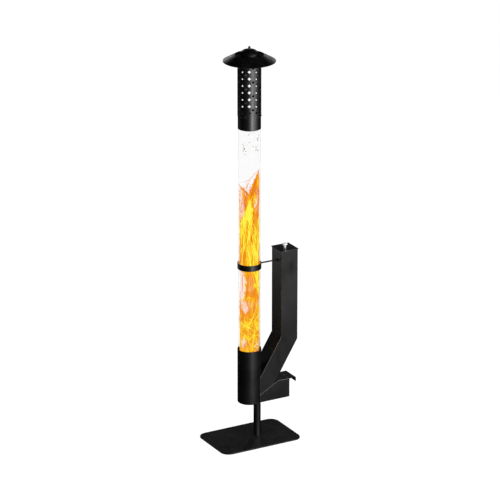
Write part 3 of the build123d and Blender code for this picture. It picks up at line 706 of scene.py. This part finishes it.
def flame_look(name, thin, streak_heat, stops):
    """Glowing gas. Its paint gives cover, heat and paleness, and streaky noise breaks them up.

    thin is the cover where the noise is low, streak_heat the heat that the noise adds or takes.
    """
    look = Look(name)
    streaks = look.noise(34, detail=5, stretch=(1, 1, 0.26), distortion=1.4)
    fine = look.noise(170, detail=3, stretch=(1, 1, 0.22), distortion=0.8)
    paint = look.nodes.new("ShaderNodeAttribute")
    paint.attribute_name = "fire_paint"
    split = look.nodes.new("ShaderNodeSeparateColor")
    look.link(paint.outputs["Color"], split.inputs["Color"])
    cover, heat, paleness = (split.outputs[channel] for channel in ("Red", "Green", "Blue"))
    heat = look.math("ADD", heat, look.remap(streaks, 0.3, 0.7, -streak_heat, streak_heat))
    heat = look.math("ADD", heat, look.remap(fine, 0.3, 0.7, -0.4 * streak_heat, 0.4 * streak_heat))
    pale = look.math("MULTIPLY", paleness, look.remap(streaks, 0.35, 0.6, 0.3, 1.0))
    colour = look.mix(pale, look.ramp(heat, stops), (0.93, 0.50, 0.30))
    look.link(colour, look.shader.inputs["Emission Color"])
    broken = look.remap(streaks, 0.3, 0.5, thin, 1.0)
    look.link(look.math("MULTIPLY", cover, broken), look.shader.inputs["Alpha"])
    look.link(look.remap(streaks, 0.3, 0.7, 0.9, 1.0), look.shader.inputs["Roughness"])
    look.set(Base_Color=(0, 0, 0, 1), Specular_IOR_Level=0.0, Emission_Strength=1.06)
    look.material.cycles.emission_sampling = "NONE"
    return look.material


def sheet_paint(turn, rise):
    """Cover, heat and paleness of the sheet of flame at a place."""
    heat = 0.30 + spot_value(flame_hot_spots, turn, rise) + 0.10 * ripple(turn, rise)
    return sheet_strength(turn, rise), heat, spot_value(flame_pale_spots, turn, rise)


def haze_paint(turn, rise):
    """Cover, heat and paleness of the haze, which fades out at the top of the flames."""
    front_turn, front_rise = front_place(turn, rise)
    below_top = top_rise(sin(radians(front_turn))) - front_rise
    fade = 30 * mm
    return min(0.55, max(0.0, below_top / fade)), 0.5, 0.0


def add_flames():
    """Haze, sheet, tongues and curls of flame inside the glass, and sparks above them."""
    fire = flame_look("flame_visual", 0.90, 0.30, [
        (0.05, (0.80, 0.20, 0.008)),
        (0.30, (0.93, 0.32, 0.011)),
        (0.52, (0.97, 0.52, 0.016)),
        (0.72, (0.98, 0.72, 0.028)),
        (0.92, (1.00, 0.90, 0.070)),
    ])
    haze = flame_look("flame_haze_visual", 0.5, 0.2, [
        (0.3, (0.95, 0.66, 0.56)),
        (0.7, (0.97, 0.74, 0.66)),
    ])
    add_sheet("flame_haze", haze, flame_radius - haze_depth, haze_paint)
    add_sheet("flame_sheet", fire, flame_radius - sheet_depth, sheet_paint)

    chance = Random(curl_seed)
    tongues = Tongues()
    for kind, width, path in flame_tongues:
        for placed in (path, back_path(path)):
            tongues.add(placed, width * mm, tongue_heats[kind])
    for *band, widest, heat in curl_bands:
        for curl in random_curls(chance, *band):
            tongues.add(curl, chance.uniform(0.4, 1.0) * widest * mm, heat)
    new_piece("flame_tongues", tongues.points, tongues.faces, fire, tongues.paint)
    add_sparks(chance)


def add_sparks(chance):
    """Glowing specks of ash that rise above the flames, thin irregular flakes."""
    points = []
    faces = []
    corners = 5
    thinness = 0.5
    for turn, rise, turn_spread, rise_spread, count in spark_groups:
        for _ in range(count):
            centre = in_tube(
                turn + chance.gauss(0, turn_spread / 2),
                rise + chance.gauss(0, rise_spread / 2),
                flame_radius - chance.uniform(3, 9) * mm,
            )
            size = chance.uniform(2.0, 4.2) * mm
            first = len(points)
            for corner in range(corners):
                angle = 2 * pi * corner / corners
                reach = size * chance.uniform(0.6, 1.0)
                drop = chance.uniform(-1, 1) * reach
                points.append(centre + Vector((cos(angle) * reach, sin(angle) * reach * thinness, drop)))
            points.append(centre + Vector((0, 0, size * thinness)))
            points.append(centre - Vector((0, 0, size * thinness)))
            top = first + corners
            for corner in range(corners):
                beside = (corner + 1) % corners
                faces.append((first + corner, first + beside, top))
                faces.append((first + beside, first + corner, top + 1))
    look = Look("spark_visual")
    glow = look.noise(400, detail=2)
    ember = look.ramp(glow, [(0.35, (0.05, 0.030, 0.012)), (0.65, (0.50, 0.24, 0.06))])
    look.link(ember, look.shader.inputs["Emission Color"])
    ash = look.ramp(glow, [(0.3, (0.03, 0.02, 0.015)), (0.7, (0.20, 0.10, 0.05))])
    look.link(ash, look.shader.inputs["Base Color"])
    look.link(look.remap(glow, 0.3, 0.7, 0.7, 0.95), look.shader.inputs["Roughness"])
    look.bump(glow, 0.1 * mm)
    look.set(Emission_Strength=0.5)
    look.material.cycles.emission_sampling = "NONE"
    new_piece("flame_sparks", points, faces, look.material)


# ---------------------------------------------------------------- stage and light
gloss_world_strength = 0.003  # of the room as gloss sees it, against 1 for everything else
lamp_aim_height = 1.0


def add_stage():
    """Plain pale floor. Gloss on the heater comes from the lamps and the dim studio round it."""
    mesh = bpy.data.meshes.new("floor")
    half = 30.0
    corners = [(-half, -half, 0), (half, -half, 0), (half, half, 0), (-half, half, 0)]
    mesh.from_pydata(corners, [], [(0, 1, 2, 3)])
    floor = bpy.data.objects.new("floor", mesh)
    bpy.context.scene.collection.objects.link(floor)
    look = Look("floor_paint")
    look.link(look.ramp(look.noise(3, detail=3), [(0.3, (0.25, 0.25, 0.25)), (0.7, (0.27, 0.27, 0.27))]),
              look.shader.inputs["Base Color"])
    look.link(look.remap(look.noise(8), 0.3, 0.7, 0.8, 0.9), look.shader.inputs["Roughness"])
    look.bump(look.noise(300), 0.01 * mm)
    look.set(Specular_IOR_Level=0.1, Emission_Color=(1, 1, 1, 1), Emission_Strength=0.76)
    mesh.materials.append(look.material)
    floor.visible_glossy = False
    floor.location.z = -0.1 * mm


def add_world():
    """White room for everything but gloss, which sees a dim one."""
    world = bpy.data.worlds.new("studio")
    world.use_nodes = True
    nodes = world.node_tree.nodes
    links = world.node_tree.links
    room = nodes["Background"]
    room.inputs["Color"].default_value = (1, 1, 1, 1)
    path = nodes.new("ShaderNodeLightPath")
    dim = nodes.new("ShaderNodeMapRange")
    dim.inputs["To Min"].default_value = 1.0
    dim.inputs["To Max"].default_value = gloss_world_strength
    links.new(path.outputs["Is Glossy Ray"], dim.inputs["Value"])
    links.new(dim.outputs["Result"], room.inputs["Strength"])
    bpy.context.scene.world = world


def add_softbox(name, turn, height, distance, size, power):
    """Area lamp aimed at the middle of the heater. turn is degrees to the right of the camera,
    height and distance are metres, size is width and height, power is watts."""
    direction = radians(camera_azimuth - 90 + turn)
    data = bpy.data.lights.new(name, "AREA")
    data.shape = "RECTANGLE"
    data.size, data.size_y = size
    data.energy = power
    lamp = bpy.data.objects.new(name, data)
    lamp.location = (cos(direction) * distance, sin(direction) * distance, height)
    aim = Vector((0, 0, lamp_aim_height)) - lamp.location
    lamp.rotation_mode = "QUATERNION"
    lamp.rotation_quaternion = aim.to_track_quat("-Z", "Y")
    bpy.context.scene.collection.objects.link(lamp)


def add_lights():
    """A tall key and fill at the right, a weak low fill at the left, and two behind for the brim."""
    add_softbox("key", 29, 1.2, 3.0, (0.7, 2.3), 104)
    add_softbox("right_fill", 58, 1.7, 3.5, (0.8, 2.4), 78)
    add_softbox("left_fill", -124, 0.18, 2.6, (0.6, 0.3), 2)
    add_softbox("back_left", 163, 2.7, 4.5, (0.4, 0.5), 6.5)
    add_softbox("back_right", -163, 2.7, 4.5, (0.4, 0.5), 6.5)


add_camera()
dress_nodes()
add_flames()
add_stage()
add_world()
add_lights()
bpy.context.scene.view_settings.view_transform = "Standard"
bpy.context.scene.view_settings.look = "None"
